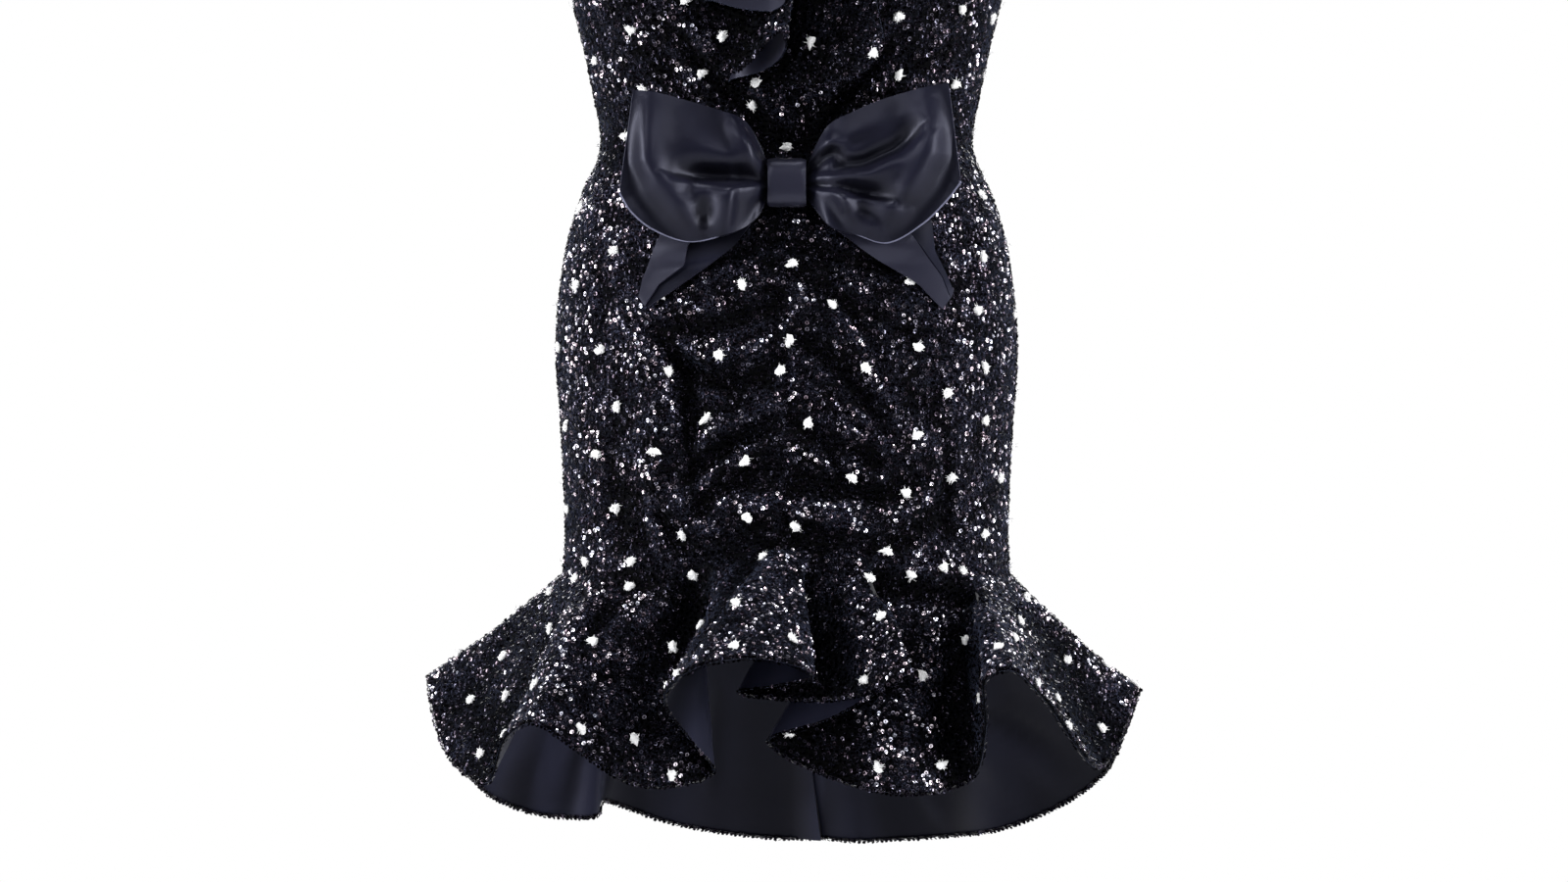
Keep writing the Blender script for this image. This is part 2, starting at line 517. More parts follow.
# Folds on the loops' fronts: places as x and height, then height, width left and right of its way
BOW_STROKES = {
    "left": [
        ([(-14, -30), (-40, -31), (-64, -29), (-84, -27)], -11, 3, 8),  # the deep fold across
        ([(-16, -35), (-42, -40), (-62, -44), (-78, -52)], 3.5, 9, 6),
        ([(-112, 32), (-115, 4), (-117, -20), (-110, -42), (-94, -62), (-80, -72)], -5.5, 8, 8),  # dark strip
        ([(-101, 28), (-104, 4), (-103, -16), (-92, -36), (-76, -54), (-66, -64)], 8, 12, 8),  # outer roll
        ([(-64, -26), (-72, -40), (-64, -56), (-56, -66)], -3.5, 6, 6),
        ([(-40, -36), (-42, -52), (-46, -74)], 9.5, 3.5, 9),  # a bright fold down
        ([(-16, -44), (-26, -56), (-32, -68)], -4, 4, 4),
        ([(-58, -44), (-60, -56), (-62, -68)], -4, 4, 5),
        ([(-14, -27), (-24, -10), (-32, 3), (-39, 15)], 8, 8, 1.4),  # the turned light edge by the knot
        ([(-10, -22), (-18, -4), (-25, 8), (-31, 18)], -7, 3, 4),
        ([(-20, -26), (-48, -16), (-70, 4), (-78, 24)], 2.5, 12, 10),
    ],
    "right": [
        ([(14, -25), (36, -24), (58, -20), (80, -10), (96, 4)], -10, 7, 3.2),  # the upper fold
        ([(14, -33), (34, -36), (56, -41), (78, -46), (86, -50)], -8, 6, 3),  # the lower fold
        ([(26, -30), (56, -29), (84, -18), (102, -2)], 4.5, 5, 8),
        ([(112, 34), (120, 6), (124, -14), (113, -38), (94, -60), (82, -70)], -5.5, 8, 8),  # dark strip
        ([(104, 28), (107, 8), (104, -12), (90, -34), (76, -52), (68, -62)], 8, 8.5, 12),  # outer roll
        ([(84, 16), (90, 0), (88, -18), (76, -36), (64, -50)], -3.5, 8, 8),
        ([(34, -38), (42, -45), (46, -57)], 7, 5, 4),  # a small bright curl
        ([(28, -42), (34, -54), (42, -66)], -3.5, 4, 4),
        ([(22, -16), (34, -12), (42, -18)], -7, 4, 4),  # the curl above
        ([(18, -12), (32, -4), (46, -10)], 4, 4, 4),
        ([(50, -50), (66, -58), (76, -66)], -3, 5, 5),
    ],
}


def loop(word, side, columns, rows):
    """A bow loop: its front from the knot outwards, round its outer end, and its back to the knot."""
    top, bottom, back, swell = (curve(LOOPS[word], part) for part in (1, 2, 3, 4))
    trip = np.linspace(-1, 1, columns) * side
    turned = np.clip(trip / 0.045 * 0.5 + 0.5, 0, 1)[None, :]
    out = (1 - np.abs(trip))[None, :]
    out = np.sin(out * np.pi / 2) ** 1.1
    share = np.linspace(0, 1, rows)[:, None]
    reach = mix(LOOP_REACH[word][0], LOOP_REACH[word][1], share)
    rounding = 0.6 + 0.4 * np.sin(np.pi * share)
    x = side * mix(SEAM_GAP / 2, reach, out)
    z = BOW["height"] + mix(bottom(out), top(out), share)
    plump = 0.80 * swell(out) * rounding - 0.35 * creasing(CREASES[word], out, share)
    lift = np.maximum(3, plump + strokes(BOW_STROKES[word], x, z) * smooth((out - 0.1) / 0.12))
    y = BOW["depth"] + back(out) - lift * (1 - smooth(turned))
    return np.stack(np.broadcast_arrays(x, y, z), -1)


def tail(word, side, columns, rows):
    """A bow tail, down from the knot. A row goes from its near edge to its fold and under that to its end."""
    corners = [
        [
            (near_x, near_z, near), (fold_x, fold_z, fold if side > 0 else near),
            (fold_x, fold_z, fold), (end_x, end_z, end),
        ]
        for near_x, near_z, fold_x, fold_z, end_x, end_z, near, fold, end in TAILS[word]
    ]
    down = between(corners, np.linspace(len(corners) - 1, 0, rows))
    place = np.linspace(0, 3, columns)[::-side]
    i = np.clip(place.astype(int), 0, 2)
    t = (place - i)[:, None]
    return on_front(*np.moveaxis(down[:, i] * (1 - t) + down[:, i + 1] * t, -1, 0))


# ---- Meshes ----
def make(name, points, faces, *materials, slots=None, attributes=None):
    """points: millimetres above the waist. faces: quads or triangles. slots: which material each face has."""
    mesh = bpy.data.meshes.new(name)
    points = (np.asarray(points, float).reshape(-1, 3) - [0, 0, SHOULDER]) * MM
    faces = np.asarray(faces, np.int32)
    mesh.vertices.add(len(points))
    mesh.vertices.foreach_set("co", points.astype(np.float32).ravel())
    mesh.loops.add(faces.size)
    mesh.loops.foreach_set("vertex_index", faces.ravel())
    mesh.polygons.add(len(faces))
    mesh.polygons.foreach_set("loop_start", np.arange(0, faces.size, faces.shape[1], dtype=np.int32))
    mesh.update(calc_edges=True)
    for each in materials:
        mesh.materials.append(each)
    if slots is not None:
        mesh.polygons.foreach_set("material_index", slots.astype(np.int32))
    for key, values in (attributes or {}).items():
        data = mesh.attributes.new(key, "FLOAT", "POINT").data
        data.foreach_set("value", np.asarray(values, np.float32).ravel())
    mesh.polygons.foreach_set("use_smooth", np.ones(len(faces), bool))
    piece = bpy.data.objects.new(name, mesh)
    bpy.context.collection.objects.link(piece)
    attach(piece, "root")
    return piece


def seen_from_inside(grid):
    """How light a lining's parts are behind: the facing beside the centre back, and both sides."""
    x, behind = grid[..., 0], smooth(grid[..., 1] / 60)
    facing = smooth((x - 3) / 5) * (1 - smooth((x - 29) / 3))
    sides = 0.95 * smooth((-x - 110) / 60) - 0.2 * smooth((x - 40) / 60) - 0.35
    return (1 + 1.1 * facing * behind) * (1 + sides * behind)


def shell(name, outer, thickness, *materials, under=None, inside=False):
    """A closed wall of cloth on a grid: its outer face, an inner face that far in, and rims between them.
    A second material is on the inner face, or on both faces of the cells that under marks.
    inside: the wall is seen from inside."""
    rows, columns = outer.shape[:2]
    inner = outer - normals_of(outer) * thickness
    index = np.arange(rows * columns).reshape(rows, columns)
    face = np.stack([index[:-1, :-1], index[:-1, 1:], index[1:, 1:], index[1:, :-1]], -1).reshape(-1, 4)
    border = np.concatenate([index[0, :], index[1:, -1], index[-1, -2::-1], index[-2:0:-1, 0]])
    after = np.roll(border, -1)
    rim = np.stack([after, border, border + index.size, after + index.size], -1)
    faces = np.concatenate([face, face[:, ::-1] + index.size, rim])
    slots = None
    if len(materials) > 1:
        marked = [0 * face[:, 0], 1 + 0 * face[:, 0]] if under is None else [under, under]
        slots = np.concatenate(marked + [0 * rim[:, 0]])
    if inside:
        shade = shade_of(-normals_of(outer), -relief_of(outer)) * seen_from_inside(outer)
    else:
        shade = shade_of(normals_of(outer), relief_of(outer))
    piece = make(name, [outer, inner], faces, *materials, slots=slots, attributes={"lit": [shade, shade]})
    piece.data.set_sharp_from_angle(angle=math.radians(50))
    return piece


def tube(points, radius, sides=8):
    """Points and quads of a tube along a line of points, closed at its ends by its own taper."""
    p = np.asarray(points, float)
    along = unit(np.gradient(p, axis=0))
    aside = unit(np.cross(along, [0.13, 0.31, 0.94]))
    turn = np.linspace(0, 2 * np.pi, sides, endpoint=False)[None, :, None]
    ring = swing(aside[:, None], np.cross(along, aside)[:, None], turn)[0]
    taper = np.minimum(1, np.minimum(np.arange(len(p)), np.arange(len(p))[::-1]) / 2 + 0.05)
    grid = p[:, None] + ring * (radius * taper)[:, None, None]
    index = np.arange(len(p) * sides).reshape(len(p), sides)
    nxt = np.roll(index, -1, axis=1)
    faces = np.stack([index[:-1], nxt[:-1], nxt[1:], index[1:]], -1).reshape(-1, 4)
    return grid.reshape(-1, 3), faces


def joined(parts):
    """Several (points, faces) as one."""
    points, faces, start = [], [], 0
    for p, f in parts:
        points.append(p)
        faces.append(f + start)
        start += len(p)
    return np.concatenate(points), np.concatenate(faces)


# ---- Scattering: sequins and tufts on a grid ----
def scatter(grid, apart, rng, tries):
    """Random places on a grid at least apart from each other: position, normal and relief."""
    normal = normals_of(grid)
    relief = relief_of(grid)[..., None]
    a, b, d = grid[:-1, :-1], grid[:-1, 1:], grid[1:, :-1]
    area = np.linalg.norm(np.cross(b - a, d - a), axis=-1)
    weight = area.ravel() / area.sum()
    count = int(tries * area.sum() / apart**2)
    cell = rng.choice(len(weight), count, p=weight)
    r, c = cell // area.shape[1], cell % area.shape[1]
    s, t = rng.random(count)[:, None], rng.random(count)[:, None]

    def sample(values):
        low = mix(values[r, c], values[r, c + 1], s)
        return mix(low, mix(values[r + 1, c], values[r + 1, c + 1], s), t)

    where, facing, stands = sample(grid), unit(sample(normal)), sample(relief)[:, 0]
    keys = np.floor(where / apart).astype(int).tolist()
    around = [(i, j, k) for i in (-1, 0, 1) for j in (-1, 0, 1) for k in (-1, 0, 1)]
    taken, kept = {}, []
    for n, ((a, b, c), (x, y, z)) in enumerate(zip(keys, where.tolist())):
        near = (taken.get((a + i, b + j, c + k), ()) for i, j, k in around)
        if all((u - x) ** 2 + (v - y) ** 2 + (w - z) ** 2 >= apart**2 for cell in near for u, v, w in cell):
            taken.setdefault((a, b, c), []).append((x, y, z))
            kept.append(n)
    return where[kept], facing[kept], stands[kept]


def across(axis, rng):
    """Two unit vectors square to axis, turned at random round it."""
    helper = np.where(np.abs(axis[:, :1]) < 0.8, [[1.0, 0, 0]], [[0, 1.0, 0]])
    first = unit(np.cross(axis, helper))
    return swing(first, np.cross(axis, first), rng.uniform(0, 2 * np.pi, (len(axis), 1)))


# Places at the front where more sequins lie towards the light, or fewer: x, height, reach across and up, gain
SHINY = [
    (-84, 66, 36, 42, 0.65), (-134, -190, 24, 110, 0.12), (134, -190, 24, 110, -0.05),
    (66, -430, 60, 34, 0.8), (0, 60, 26, 40, 0.25), (94, -290, 30, 30, 0.2),
    (-48, -318, 18, 22, -0.85), (-62, -346, 12, 18, -0.6), (-14, -360, 26, 26, 0.15),
]


def shine_of(where):
    x, y, z = where.T
    more = sum(gain * bump(x - at, wide) * bump(z - up, high) for at, up, wide, high, gain in SHINY)
    return 1 + more * (y < 0)


clusters, small_clusters = waves(21, 16, 9), waves(22, 7, 9)


def shade_of(facing, stands):
    """How much light a place gets: crests and upper and outer faces more, troughs and lower faces less."""
    turned = 0.70 + 0.58 * np.abs(facing[..., 0]) + 0.7 * facing[..., 2]
    return np.clip((0.22 + 1.10 * smooth((stands + 2.2) / 4.4)) * turned, 0.10, 1.6)


def disc_fans(centre, first, second, axis, radius, sides, hole):
    """Points, triangles and rim shares of small dishes, or of dished rings where hole is above 0."""
    count = len(centre)
    turn = np.linspace(0, 2 * np.pi, sides, endpoint=False)[None, :, None]
    round_ = swing(first[:, None], second[:, None], turn)[0]
    rim = centre[:, None] + radius * round_
    k = np.arange(sides)
    nxt = (k + 1) % sides
    if hole:
        inner = centre[:, None] - axis[:, None] * SEQUIN["dish"] * (1 - hole) + radius * hole * round_
        fan = np.concatenate([np.stack([k, sides + k, sides + nxt], -1), np.stack([k, sides + nxt, nxt], -1)])
        share = np.concatenate([np.full(sides, hole), np.ones(sides)])
    else:
        inner = (centre - axis * SEQUIN["dish"])[:, None]
        fan = np.stack([0 * k, 1 + k, 1 + nxt], -1)
        share = np.concatenate([[0.0], np.ones(sides)])
    points = np.concatenate([inner, rim], 1)
    faces = (np.arange(count)[:, None, None] * points.shape[1] + fan[None]).reshape(-1, 3)
    return points.reshape(-1, 3), faces, np.tile(share, count), points.shape[1]


def sequins(name, where, facing, stands, rng):
    count = len(where)
    tilt = rng.normal(0, SEQUIN["tilt"], (count, 2))
    first, second = across(facing, rng)
    axis = unit(facing + first * tilt[:, :1] + second * tilt[:, 1:])
    first, second = across(axis, rng)
    centre = where + facing * rng.uniform(*SEQUIN["off"], (count, 1))
    radius = SEQUIN["radius"] * rng.uniform(0.9, 1.08, (count, 1, 1))
    x, y, z = where.T
    level = clusters(x + 0.6 * y, z) + 0.7 * small_clusters(x, z)
    shade = shade_of(facing, stands)
    tone = TONE["gain"] * rng.random(count) ** TONE["rarity"] * (TONE["even"] + TONE["patchy"] * level)
    tone = np.clip(tone * shade * shine_of(where) + TONE["crests"] * np.clip(shade - 0.75, 0, 0.8), 0, 1)
    tint = rng.random(count)
    rings = tone >= RING_FROM
    parts, values = [], []
    for kind, sides, hole in ((rings, SEQUIN["sides"], SEQUIN["hole"]), (~rings, SEQUIN["plain_sides"], 0)):
        chosen = (each[kind] for each in (centre, first, second, axis, radius))
        points, faces, share, size = disc_fans(*chosen, sides, hole)
        parts.append((points, faces))
        values.append((np.repeat(tone[kind], size), share, np.repeat(tint[kind], size)))
    attributes = {key: np.concatenate(each) for key, each in zip(("tone", "rim", "tint"), zip(*values))}
    piece = make(name, *joined(parts), SEQUIN_MATERIAL, attributes=attributes)
    return piece


def tuft_form():
    """A unit ball's points and triangles, from an icosahedron cut once."""
    g = (1 + 5**0.5) / 2
    points = [(-1, g, 0), (1, g, 0), (-1, -g, 0), (1, -g, 0), (0, -1, g), (0, 1, g),
              (0, -1, -g), (0, 1, -g), (g, 0, -1), (g, 0, 1), (-g, 0, -1), (-g, 0, 1)]
    faces = [(0, 11, 5), (0, 5, 1), (0, 1, 7), (0, 7, 10), (0, 10, 11), (1, 5, 9), (5, 11, 4), (11, 10, 2),
             (10, 7, 6), (7, 1, 8), (3, 9, 4), (3, 4, 2), (3, 2, 6), (3, 6, 8), (3, 8, 9), (4, 9, 5),
             (2, 4, 11), (6, 2, 10), (8, 6, 7), (9, 8, 1)]
    points = [tuple(v) for v in unit(np.array(points, float))]
    middle = {}

    def half(a, b):
        key = (min(a, b), max(a, b))
        if key not in middle:
            middle[key] = len(points)
            points.append(tuple(unit(np.array(points[a]) + np.array(points[b]))))
        return middle[key]

    cut = []
    for a, b, c in faces:
        d, e, f = half(a, b), half(b, c), half(c, a)
        cut += [(a, d, f), (b, e, d), (c, f, e), (d, e, f)]
    return np.array(points), np.array(cut)


def tufts(name, where, facing, rng):
    """Flat knots of yarn: a lumpy core with short fibres standing out of it."""
    form, cut = tuft_form()
    count = len(where)
    first, second = across(facing, rng)
    round_ = np.arctan2(form[:, 1], form[:, 0])[None]
    lobes = sum(
        height * np.cos(number * round_ + rng.uniform(0, 2 * np.pi, (count, 1)))
        for number, height in TUFT["lobes"]
    )
    grow = rng.uniform(0.78, 1.14, (count, len(form), 1)) * (1 + lobes[..., None])
    long = rng.uniform(0.82, 1.3, (count, 1, 1)) * rng.uniform(0.85, 1.1, (count, 1, 1))
    ball = form[None] * grow
    points = (
        (where + facing * 1.3)[:, None]
        + first[:, None] * ball[..., :1] * TUFT["radius"] * long
        + second[:, None] * ball[..., 1:2] * TUFT["radius"] / long
        + facing[:, None] * ball[..., 2:] * TUFT["height"]
    )
    core = (points.reshape(-1, 3), (np.arange(count)[:, None, None] * len(form) + cut[None]).reshape(-1, 3))
    fibres = TUFT["fibres"]
    turn = rng.uniform(0, 2 * np.pi, (count, fibres, 1))
    rise = rng.uniform(-0.15, 1.2, (count, fibres, 1))
    flat, aside = swing(first[:, None], second[:, None], turn)
    root = (where + facing * 1.2)[:, None] + flat * TUFT["radius"] * np.cos(rise) * 0.72
    root = root + facing[:, None] * TUFT["height"] * 0.8 * np.sin(rise)
    length = rng.uniform(0.7, 1.0, (count, fibres, 1))
    length = length * rng.choice([1.0, 1.9, 3.6], (count, fibres, 1), p=[0.45, 0.37, 0.18])
    lean = rng.normal(0, 0.5, (count, fibres, 1))
    tip = root + (flat * np.cos(rise) + facing[:, None] * np.sin(rise) + aside * lean) * length
    hair = np.stack([root - aside * 0.5, root + aside * 0.5, tip], 2).reshape(-1, 3)
    piece = make(name, *joined([core, (hair, np.arange(len(hair)).reshape(-1, 3))]), TUFT_MATERIAL)
    return piece


# ---- Materials ----
class Graph:
    """The nodes of a material or the world. An input that is given a socket is linked, any other is set."""

    def __init__(self, owner):
        owner.use_nodes = True
        self.nodes, self.links = owner.node_tree.nodes, owner.node_tree.links

    def put(self, socket, value):
        if isinstance(value, bpy.types.NodeSocket):
            self.links.new(value, socket)
        else:
            socket.default_value = value

    def fill(self, made, **values):
        for key, value in values.items():
            if hasattr(made, key):
                setattr(made, key, value)
            else:
                self.put(made.inputs[key.replace("_", " ")], value)

    def node(self, kind, *inputs, out=0, **values):
        """A new node's output. inputs are for its first sockets, in their order."""
        made = self.nodes.new("ShaderNode" + kind)
        self.fill(made, **values)
        for socket, value in zip(made.inputs, inputs):
            self.put(socket, value)
        return made.outputs[out]

    def attribute(self, name):
        return self.node("Attribute", out="Fac", attribute_name=name)

    def blend(self, first, second, blend_type="MULTIPLY"):
        made = self.nodes.new("ShaderNodeMix")
        made.data_type, made.blend_type = "RGBA", blend_type
        for place, value in ((0, 1), (6, first), (7, second)):
            self.put(made.inputs[place], value)
        return made.outputs[2]

    def ramp(self, share, *stops):
        """Each stop is its place, red, green and blue."""
        made = self.nodes.new("ShaderNodeValToRGB")
        ends = made.color_ramp.elements
        while len(ends) < len(stops):
            ends.new(0.5)
        for end, (place, *colour) in zip(ends, stops):
            end.position, end.color = place, (*colour, 1)
        self.put(made.inputs[0], share)
        return made.outputs[0]

    def surface(self, **values):
        self.fill(self.nodes["Principled BSDF"], **values)

    def show(self, output, share, first, second):
        """The output node gets the first shader, and that share of the second."""
        self.links.new(self.node("MixShader", share, first, second), self.nodes[output].inputs["Surface"])


def material(name, placed=True):
    """A material, its graph and, if its textures are placed, the object's own coordinates."""
    made = bpy.data.materials.new(name)
    graph = Graph(made)
    return made, graph, placed and graph.node("TexCoord", out="Object")


def cloth_material(name, bright):
    """The net under the sequins: black with bluish specks in patches, lighter where the cloth stands out."""
    made, graph, place = material(name)
    cells = graph.node("TexVoronoi", place, feature="F1", Scale=760)
    spots = graph.ramp(cells, (0, 0.050 * bright, 0.054 * bright, 0.084 * bright),
                       (0.30, 0.010 * bright, 0.011 * bright, 0.018 * bright), (0.6, 0.0012, 0.0012, 0.0022))
    patches = graph.node("TexNoise", place, Scale=58, Detail=4)
    shade = graph.ramp(patches, (0.40, 0.10, 0.10, 0.12), (0.64, 1.5, 1.5, 1.6))
    level = graph.node("MapRange", graph.attribute("lit"), 0.35, 1.25, 0.12, 1.25)
    height = graph.node("Math", cells, graph.node("TexNoise", place, Scale=1500, Detail=2), operation="ADD")
    graph.surface(
        Base_Color=graph.blend(graph.blend(spots, shade), level), Roughness=0.7,
        Sheen_Weight=0.30, Sheen_Roughness=0.28, Sheen_Tint=(0.45, 0.53, 0.85, 1), Specular_IOR_Level=0.03,
        Normal=graph.node("Bump", Strength=0.7, Distance=0.0006, Height=height),
    )
    return made


def knit_material():
    made, graph, place = material("cloth_inside")
    knit = graph.node("TexVoronoi", place, feature="F1", Scale=900)
    graph.surface(
        Base_Color=graph.ramp(knit, (0, 0.014, 0.014, 0.019), (0.8, 0.005, 0.005, 0.008)),
        Roughness=0.72, Sheen_Weight=0.2, Sheen_Roughness=0.5,
        Normal=graph.node("Bump", Strength=0.4, Distance=0.0004, Height=knit),
    )
    return made


def sequin_material():
    """Dark to bright by tone. Each dish is darker towards its middle, less so where its tone is bright."""
    made, graph, _ = material("sequins", placed=False)
    tone, rim, tint = (graph.attribute(key) for key in ("tone", "rim", "tint"))
    glint = graph.ramp(
        tone, (0, 0.0030, 0.0029, 0.0046), (0.2, 0.0170, 0.0160, 0.0225), (0.42, 0.060, 0.055, 0.070),
        (0.62, 0.14, 0.13, 0.15), (0.8, 0.30, 0.275, 0.31), (0.93, 0.92, 0.89, 0.93),
    )
    hue = graph.ramp(tint, (0, 0.90, 0.95, 1.10), (0.5, 1, 0.98, 1.03), (1, 1.14, 0.95, 1))
    greys = ((0.30, 0.10), (0.40, 0.30), (0.64, 0.36), (0.82, 1))
    dish = graph.ramp(rim, *((place, grey, grey, grey) for place, grey in greys))
    full = graph.node("MapRange", tone, 0.78, 0.98, 0, 0.85)
    graph.surface(
        Base_Color=graph.blend(graph.blend(glint, hue), graph.blend(dish, full, "LIGHTEN")), Metallic=1,
        Roughness=graph.node("MapRange", rim, 0.2, 0.5, 0.6, 0.24),
    )
    return made


def tuft_material():
    made, graph, place = material("tuft_yarn")
    yarn = graph.node("TexNoise", place, Scale=1400, Detail=4, Roughness=0.7)
    graph.surface(
        Base_Color=graph.ramp(yarn, (0.28, 0.62, 0.63, 0.66), (0.48, 0.98, 0.98, 0.98)),
        Roughness=0.9, Sheen_Weight=0.6, Sheen_Roughness=0.6,
        Normal=graph.node("Bump", Strength=0.8, Distance=0.001, Height=yarn),
    )
    return made


def satin_material(name, dark, light, roughness, gloss, folds=0):
    """Satin with soft clouds and a fine weave. With folds, it is darker in its troughs by the lit values."""
    made, graph, place = material(name)
    cloudy = graph.node("TexNoise", place, Scale=14, Detail=3)
    shade = graph.ramp(cloudy, (0.3, *dark), (0.75, *light))
    level = graph.node("MapRange", graph.attribute("lit"), 0.1, 1, 1 - 0.7 * folds, 1 + 1.3 * folds)
    weave = graph.node(
        "TexWave", place, out="Fac", wave_type="BANDS", bands_direction="DIAGONAL", Scale=1300, Distortion=0.6
    )
    fine = graph.node("Bump", Strength=0.08, Distance=0.0002, Height=weave)
    slub = graph.node("TexNoise", graph.node("Mapping", place, Scale=(1, 1, 0.2)), Scale=260, Detail=4)
    graph.surface(
        Base_Color=graph.blend(shade, level),
        Roughness=graph.node("MapRange", cloudy, 0, 1, roughness - 0.05, roughness + 0.08),
        Sheen_Weight=0.03, Sheen_Roughness=0.35, Sheen_Tint=(0.7, 0.72, 1, 1), Anisotropic=0.4,
        Specular_IOR_Level=gloss, Specular_Tint=(0.74, 0.76, 1, 1),
        Normal=graph.node("Bump", Strength=0.05, Distance=0.001, Height=slub, Normal=fine),
    )
    return made


CLOTH_MATERIAL = cloth_material("sequin_ground", 1.0)
BINDING_MATERIAL = cloth_material("rolled_edge", 1.6)
KNIT_MATERIAL = knit_material()
SEQUIN_MATERIAL = sequin_material()
TUFT_MATERIAL = tuft_material()
SATIN_MATERIAL = satin_material(
    "bow_satin", (0.0024, 0.0024, 0.0052), (0.0037, 0.0038, 0.0079), 0.33, 0.22, 0.8
)
LINING_MATERIAL = satin_material(
    "lining_satin", (0.0042, 0.0044, 0.0086), (0.0062, 0.0066, 0.0122), 0.36, 0.09, 1
)
TAIL_MATERIAL = satin_material("tail_satin", (0.0105, 0.0105, 0.0185), (0.0150, 0.0152, 0.0265), 0.33, 0.32)
EDGE_MATERIAL = satin_material("satin_turned_edge", (0.085, 0.088, 0.135), (0.120, 0.123, 0.180), 0.4, 0.5)

# ---- Bodice and skirt ----
rng = np.random.default_rng(SEED)
grids = {}


def keep(name, piece):
    """The piece stands in the place of the part's node of that name."""
    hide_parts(name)


for face, (columns, rows) in PANEL_GRIDS.items():
    for word, side in (("left", -1), ("right", 1)):
        name = f"{face}_{word}"
        grids[name] = panel(face, side, columns, rows)
        keep(name, shell(f"cloth_{name}", grids[name], CLOTH, CLOTH_MATERIAL, KNIT_MATERIAL))

# ---- Flounce and its lining, and the ruffle ----
# The turns, in degrees, that each flounce piece reaches between
FLOUNCE_SPANS = {
    "flounce_front": (-90, 90), "flounce_back_left": (-180, -90), "flounce_back_right": (90, 180)
}
for name, ends in FLOUNCE_SPANS.items():
    first, last = (int(np.where(hem_turns == turn)[0][0]) for turn in ends)
    columns = (last - first) * BEND_COLUMNS + 1
    grids[name] = flounce(first, last, columns, FLOUNCE_ROWS, 0)
    cloth = shell(f"cloth_{name}", grids[name], FLOUNCE_CLOTH, CLOTH_MATERIAL, KNIT_MATERIAL)
    keep(name, cloth)
    within = flounce(first, last, columns, FLOUNCE_ROWS, FLOUNCE_CLOTH + SEAM_GAP)
    name += "_lining"
    keep(name, shell(f"satin_{name}", within, LINING, LINING_MATERIAL, inside=True))

name = "cascade_ruffle"
grids[name] = ruffle(*RUFFLE_GRID)
keep(name, shell(f"cloth_{name}", grids[name], FLOUNCE_CLOTH, CLOTH_MATERIAL, TAIL_MATERIAL))


# ---- Sequins and tufts ----
def along_edge(line, normal, outwards, rng, apart=1.35):
    """Places along an edge so many sequin radii apart, facing outwards and over the edge."""
    steps = np.linalg.norm(np.diff(line, axis=0), axis=1)
    run = np.concatenate([[0], np.cumsum(steps)])
    at = np.arange(0.5, run[-1], SEQUIN["radius"] * apart)
    sample = lambda values: np.stack([np.interp(at, run, values[:, k]) for k in range(3)], -1)
    lean = rng.uniform(0.2, 1.3, (len(at), 1))
    facing = unit(sample(normal) + sample(outwards) * lean)
    return sample(line) + sample(outwards) * rng.uniform(-0.1, 1.7, (len(at), 1)), facing


def panel_edges(face, side, grid):
    """The rolled edges of a panel's armhole and neckline."""
    height = np.linspace(FLOUNCE_SEAM, SHOULDER, len(grid))
    core = grid - normals_of(grid) * CLOTH / 2
    armhole, neck = (-1, 0) if (side > 0) == (face == "front") else (0, -1)
    starts = ((armhole, UNDERARM), (neck, NECK_POINT if face == "front" else BACK_NECK))
    return joined([tube(core[height > start - 3, edge], PANEL_ROLL, 6) for edge, start in starts])


trims = {}
tries = 4.5
for name, grid in grids.items():
    where, facing, stands = scatter(grid, SEQUIN["apart"], rng, tries)
    out, hem = normals_of(grid)[0], grid[0]
    if "flounce" in name or name == "cascade_ruffle":
        down, behind = unit(hem - grid[1]), name.startswith("flounce_back")
        rows = [along_edge(hem, out, down, rng)]
        if "flounce" in name:  # more rows hang under the rolled edge and inside the lining's edge
            lower = hem - out * (FLOUNCE_CLOTH + 0.9) + down * 1.1
            rows.append(along_edge(lower, -out, down * 0.3, rng, 2.3))
        if behind:
            within = hem - out * (FLOUNCE_CLOTH + SEAM_GAP + LINING + 0.5) - down * 0.9
            rows.append(along_edge(within, -out, down * 0.4, rng))
        for extra, turned in rows:
            where, facing = np.concatenate([where, extra]), np.concatenate([facing, turned])
            stands = np.concatenate([stands, np.full(len(extra), 0.6 if behind else -0.5)])
    trims[name] = [sequins(f"sequins_{name}", where, facing, stands, rng)]
    rolled = None
    if name.startswith(("front", "back")):
        face, word = name.split("_")
        rolled = panel_edges(face, -1 if word == "left" else 1, grid)
    elif "flounce" in name:
        rolled = tube(hem - out * (FLOUNCE_CLOTH + SEAM_GAP / 2), BINDING, 6)
    if rolled:
        trims[name].append(make(f"edge_{name}", *rolled, BINDING_MATERIAL))
    where, facing, _ = scatter(grid, TUFT["apart"], rng, tries=6)
    trims[name].append(tufts(f"tufts_{name}", where, facing, rng))


# ---- Bow ----
def knot(turns, columns):
    angle = np.append(np.linspace(0, 2 * np.pi, turns, endpoint=False), 0)[:, None]
    x = np.linspace(-1, 1, columns)[None, :]
    size = (1 - np.abs(x) ** 6 * 0.1) * (1 - 0.035 * (1 - x**2))
    y = BOW["depth"] - KNOT["half_depth"] * size * power(np.cos(angle), 0.66)
    z = BOW["height"] + KNOT["half_height"] * size * power(np.sin(angle), 0.66)
    width = KNOT["half_width"] * (1 + 0.05 * np.sin(angle) ** 2)
    return np.stack(np.broadcast_arrays(x * width, y, z), -1)


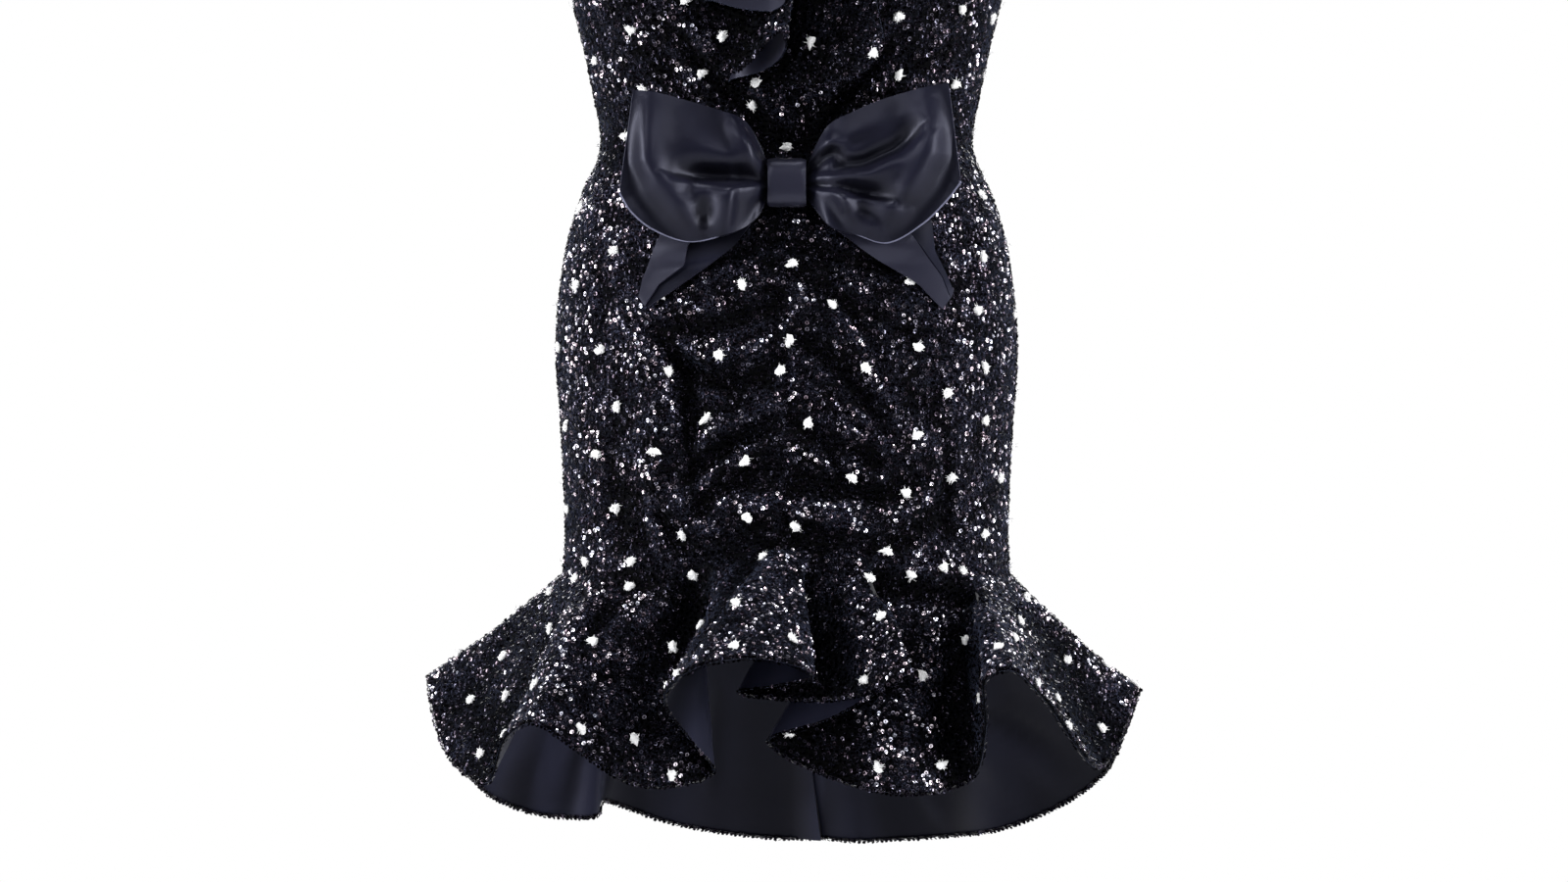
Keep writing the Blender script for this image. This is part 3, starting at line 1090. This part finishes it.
for word, side in (("left", -1), ("right", 1)):
    name = f"bow_loop_{word}"
    grid = loop(word, side, *LOOP_GRID)
    keep(name, shell(f"satin_{name}", grid, SATIN, SATIN_MATERIAL))
    core = grid - normals_of(grid) * SATIN / 2
    end = LOOP_GRID[0] // 2 - (side > 0)  # the loop's outermost column, where its edge turns up
    line = np.concatenate([core[:0:-1, end], core[0, end::-side][:LOOP_EDGE_RUN]])
    trims[name] = [make(f"satin_{name}_edge", *tube(line, LOOP_EDGE, 8), EDGE_MATERIAL)]
    name = f"bow_tail_{word}"
    columns, rows = TAIL_GRID
    cells = columns - 1
    shaded = np.arange(cells * (rows - 1)) % cells < cells // 3  # the third that lies under the tail's fold
    grid = tail(word, side, columns, rows)
    keep(name, shell(f"satin_{name}", grid, SATIN, TAIL_MATERIAL, LINING_MATERIAL, under=shaded))
keep("bow_knot", shell("satin_bow_knot", knot(*KNOT_GRID), KNOT["band"], TAIL_MATERIAL))


# ---- Studio ----
def studio_floor():
    mesh = bpy.data.meshes.new("floor")
    mesh.from_pydata([(x, y, -1.4) for x, y in ((-4, -4), (4, -4), (4, 4), (-4, 4))], [], [(0, 1, 2, 3)])
    made, graph, place = material("studio_white")
    paper = graph.node("TexNoise", place, Scale=3, Detail=2)
    white = graph.ramp(paper, (0.3, 0.80, 0.80, 0.81), (0.7, 0.84, 0.84, 0.85))
    graph.surface(Base_Color=white, Roughness=0.9)
    seen = graph.node("Math", graph.node("LightPath", out="Is Camera Ray"), 0.9, operation="MULTIPLY")
    glow = graph.node("Emission", (1, 1, 1, 1), 0.98)
    graph.show("Material Output", seen, graph.nodes["Principled BSDF"].outputs[0], glow)
    mesh.materials.append(made)
    floor = bpy.data.objects.new("floor", mesh)
    bpy.context.collection.objects.link(floor)


def softbox(name, place, width, height, watts):
    data = bpy.data.lights.new(name, "AREA")
    data.shape = "RECTANGLE"
    data.size, data.size_y = width, height
    data.energy = watts
    lamp = bpy.data.objects.new(name, data)
    lamp.location = place
    lamp.rotation_euler = (Vector((0, 0, -0.5)) - Vector(place)).to_track_quat("-Z", "Y").to_euler()
    bpy.context.collection.objects.link(lamp)


# place, width, height, watts
SOFTBOXES = {
    "left": ((-2.6, -1.0, -0.25), 0.8, 2.1, 98), "right": ((2.6, -1.0, -0.25), 0.8, 2.1, 90),
    "front_left": ((-1.7, -3.3, 1.4), 0.7, 0.7, 28), "front_right": ((1.8, -3.3, 1.2), 0.7, 0.7, 24),
    "top": ((0, -1.0, 2.3), 1.5, 0.9, 44),
    "back_left": ((-1.7, 2.6, 1.0), 0.9, 0.9, 34), "back_right": ((1.7, 2.6, 1.0), 0.9, 0.9, 34),
}
studio_floor()
for name, box in SOFTBOXES.items():
    softbox(f"softbox_{name}", *box)


def studio_world():
    """White to the camera, and a dim room with lighter sides and ceiling to the dress."""
    world = bpy.data.worlds.new("studio")
    graph = Graph(world)
    across = graph.node("SeparateXYZ", graph.node("TexCoord", out="Generated"), out="X")
    sides = graph.node("MapRange", graph.node("Math", across, operation="ABSOLUTE"), 0.55, 1, 0.07, 0.24)
    ceiling = graph.node("MapRange", across.node.outputs["Z"], 0.45, 1, 0, 0.22)
    room = graph.nodes["Background"]
    graph.fill(room, Color=(0.9, 0.93, 1, 1), Strength=graph.node("Math", sides, ceiling, operation="ADD"))
    paper = graph.node("Background", (1, 1, 1, 1), 1)
    graph.show("World Output", graph.node("LightPath", out="Is Camera Ray"), room.outputs[0], paper)
    bpy.context.scene.world = world


studio_world()
bpy.context.scene.view_settings.view_transform = "Standard"
